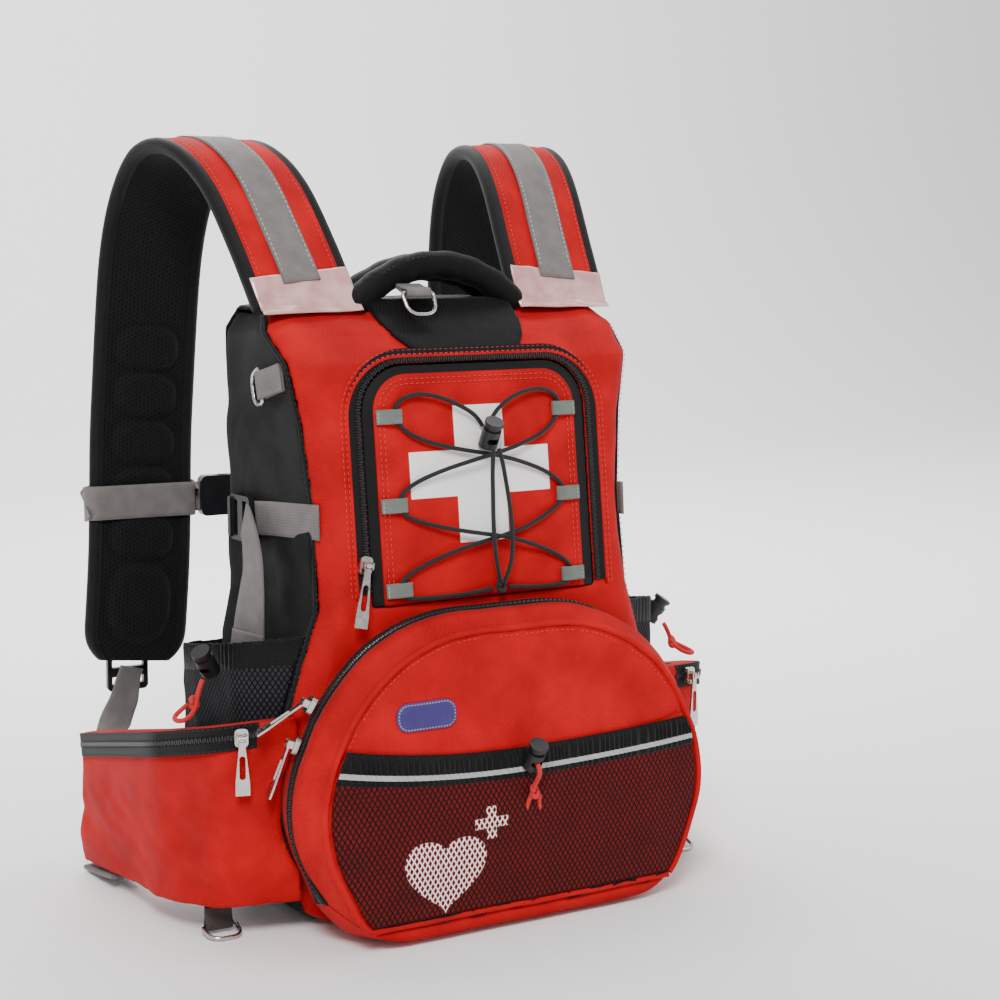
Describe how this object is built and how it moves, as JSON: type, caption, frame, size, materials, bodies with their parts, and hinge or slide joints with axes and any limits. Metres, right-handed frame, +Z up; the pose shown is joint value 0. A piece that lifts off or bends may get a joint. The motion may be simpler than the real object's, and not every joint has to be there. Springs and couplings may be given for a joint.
{
  "type": "rescue backpack",
  "caption": "Two-bay trauma backpack: hinged padded lid below, laced zip flap above, shoulder harness, hip wings, mesh side pockets and a carry handle.",
  "frame": {"origin": "on the floor under the base panel, on the pack's centre plane", "axes": "+Z up, -Y towards the front (the side with the lid and the flap), +X to the right as seen from the front"},
  "size_m": [0.467, 0.3648, 0.5661],
  "materials": {
    "black_cord": "woven",
    "black_fabric": "woven",
    "black_mesh": "woven",
    "black_plastic": "moulded",
    "black_webbing": "woven",
    "black_zip": "woven",
    "grey_webbing": "woven",
    "loop_webbing": "woven",
    "nickel_metal": "satin nickel",
    "purple_badge": "woven",
    "red_cord": "woven",
    "red_twill": "woven",
    "reflective_patch": "woven"
  },
  "bodies": {
    "pack": {"back_panel": "black_mesh", "base_panel": "black_fabric", "bay_shelf": "black_fabric", "bottle_pocket_left": "black_mesh", "bottle_pocket_right": "black_mesh", "carry_handle": "black_fabric", "compression_straps": "grey_webbing", "flap_zip": "black_zip", "front_panel": "red_twill", "hip_wing_left": "red_twill", "hip_wing_right": "red_twill", "hip_zips": "black_zip", "ladder_locks": "black_plastic", "neck_panel": "black_fabric", "pocket_cords": "red_cord", "pocket_locks": "black_plastic", "pod_gusset": "red_twill", "pod_zip": "black_zip", "retention_socket": "black_plastic", "retention_strap": "black_webbing", "shoulder_patches": "reflective_patch", "shoulder_strap_left": "black_mesh", "shoulder_strap_right": "black_mesh", "side_panel_left": "black_fabric", "side_panel_right": "black_fabric", "sternum_socket": "black_plastic", "sternum_strap_left": "grey_webbing", "sternum_strap_right": "grey_webbing", "strap_webbing": "grey_webbing", "webbing_tabs": "grey_webbing"},
    "flap": {"first_aid_flap": "red_twill", "flap_loops": "loop_webbing", "flap_bungee": "black_cord", "flap_lock": "black_plastic"},
    "lid": {"aed_lid": "red_twill", "mesh_pocket": "black_mesh", "lid_badge": "purple_badge", "lid_lock": "black_plastic", "lid_cord": "red_cord"},
    "flap_slider_body": {"flap_slider": "nickel_metal"},
    "lid_upper_slider_body": {"lid_upper_slider": "nickel_metal"},
    "lid_lower_slider_body": {"lid_lower_slider": "nickel_metal"},
    "hip_left_slider_body": {"hip_left_slider": "nickel_metal"},
    "hip_right_slider_body": {"hip_right_slider": "nickel_metal"},
    "flap_pull_body": {"flap_pull": "nickel_metal"},
    "lid_upper_pull_body": {"lid_upper_pull": "nickel_metal"},
    "lid_lower_pull_body": {"lid_lower_pull": "nickel_metal"},
    "hip_left_pull_body": {"hip_left_pull": "nickel_metal"},
    "hip_right_pull_body": {"hip_right_pull": "nickel_metal"},
    "side_ring_left_body": {"side_ring_left": "nickel_metal"},
    "side_ring_right_body": {"side_ring_right": "nickel_metal"},
    "base_ring_left_body": {"base_ring_left": "nickel_metal"},
    "base_ring_right_body": {"base_ring_right": "nickel_metal"},
    "top_ring_body": {"top_ring": "nickel_metal"},
    "flap_button_body": {"flap_button": "black_plastic"},
    "lid_button_body": {"lid_button": "black_plastic"},
    "pocket_button_left_body": {"pocket_button_left": "black_plastic"},
    "pocket_button_right_body": {"pocket_button_right": "black_plastic"},
    "sternum_plug_body": {"sternum_plug": "black_plastic"},
    "retention_plug_body": {"retention_plug": "black_plastic"}
  },
  "joints": [
    {"name": "flap_hinge", "type": "hinge", "parent": "pack", "child": "flap", "pos_m": [0, -0.13258, 0.23307], "axis": [1, 0, 0], "range_deg": [0, 85]},
    {"name": "lid_hinge", "type": "hinge", "parent": "pack", "child": "lid", "pos_m": [0, -0.1785, 0.016], "axis": [1, 0, 0], "range_deg": [0, 93]},
    {"name": "flap_zip_slide", "type": "slide", "parent": "pack", "child": "flap_slider_body", "axis": [0, 0.1191, 0.9929], "range_m": [0, 0.095]},
    {"name": "lid_upper_zip_slide", "type": "slide", "parent": "pack", "child": "lid_upper_slider_body", "axis": [0.4952, 0, 0.8688], "range_m": [0, 0.018]},
    {"name": "lid_lower_zip_slide", "type": "slide", "parent": "pack", "child": "lid_lower_slider_body", "axis": [-0.3833, -0.0092, -0.9236], "range_m": [0, 0.018]},
    {"name": "hip_left_zip_slide", "type": "slide", "parent": "pack", "child": "hip_left_slider_body", "axis": [-0.9498, 0.3053, -0.0688], "range_m": [0, 0.025]},
    {"name": "hip_right_zip_slide", "type": "slide", "parent": "pack", "child": "hip_right_slider_body", "axis": [0.9498, 0.3053, -0.0688], "range_m": [0, 0.025]},
    {"name": "flap_pull_swing", "type": "hinge", "parent": "flap_slider_body", "child": "flap_pull_body", "pos_m": [-0.0988, -0.1286, 0.26281], "axis": [-0.9782, 0.0248, 0.2064], "range_deg": [0, 140]},
    {"name": "lid_upper_pull_swing", "type": "hinge", "parent": "lid_upper_slider_body", "child": "lid_upper_pull_body", "pos_m": [-0.15032, -0.13112, 0.1723], "axis": [0.185, 0.9827, 0], "range_deg": [0, 100]},
    {"name": "lid_lower_pull_swing", "type": "hinge", "parent": "lid_lower_slider_body", "child": "lid_lower_pull_body", "pos_m": [-0.16262, -0.13104, 0.14477], "axis": [0.1836, 0.983, 0], "range_deg": [0, 75]},
    {"name": "hip_left_pull_swing", "type": "hinge", "parent": "hip_left_slider_body", "child": "hip_left_pull_body", "pos_m": [-0.19163, -0.11769, 0.1485], "axis": [-0.952, 0.306, 0], "range_deg": [0, 140]},
    {"name": "hip_right_pull_swing", "type": "hinge", "parent": "hip_right_slider_body", "child": "hip_right_pull_body", "pos_m": [0.19163, -0.11769, 0.1485], "axis": [-0.952, -0.306, 0], "range_deg": [0, 140]},
    {"name": "side_ring_left_swing", "type": "hinge", "parent": "pack", "child": "side_ring_left_body", "pos_m": [-0.146, -0.056, 0.386], "axis": [0, 0.28, 0.96], "range_deg": [0, 80]},
    {"name": "side_ring_right_swing", "type": "hinge", "parent": "pack", "child": "side_ring_right_body", "pos_m": [0.146, -0.056, 0.386], "axis": [0, -0.28, -0.96], "range_deg": [0, 80]},
    {"name": "base_ring_left_swing", "type": "hinge", "parent": "pack", "child": "base_ring_left_body", "pos_m": [-0.197, -0.082, 0.006], "axis": [-1, 0, 0], "range_deg": [0, 50]},
    {"name": "base_ring_right_swing", "type": "hinge", "parent": "pack", "child": "base_ring_right_body", "pos_m": [0.197, -0.082, 0.006], "axis": [-1, 0, 0], "range_deg": [0, 50]},
    {"name": "top_ring_swing", "type": "hinge", "parent": "pack", "child": "top_ring_body", "pos_m": [-0.027, -0.07, 0.45], "axis": [-1, 0, 0], "range_deg": [0, 80]},
    {"name": "flap_button_press", "type": "slide", "parent": "flap", "child": "flap_button_body", "axis": [0, 0.5004, -0.8658], "range_m": [0, 0.003], "stiffness_N_per_m": 300},
    {"name": "lid_button_press", "type": "slide", "parent": "lid", "child": "lid_button_body", "axis": [0, 0.5385, -0.8426], "range_m": [0, 0.003], "stiffness_N_per_m": 300},
    {"name": "pocket_button_left_press", "type": "slide", "parent": "pack", "child": "pocket_button_left_body", "axis": [0.501, 0.3006, -0.8116], "range_m": [0, 0.003], "stiffness_N_per_m": 300},
    {"name": "pocket_button_right_press", "type": "slide", "parent": "pack", "child": "pocket_button_right_body", "axis": [-0.501, 0.3006, -0.8116], "range_m": [0, 0.003], "stiffness_N_per_m": 300},
    {"name": "sternum_plug_release", "type": "slide", "parent": "pack", "child": "sternum_plug_body", "axis": [1, 0, 0], "range_m": [0, 0.022]},
    {"name": "retention_plug_release", "type": "slide", "parent": "pack", "child": "retention_plug_body", "axis": [0, -0.1191, -0.9929], "range_m": [0, 0.022]}
  ]
}
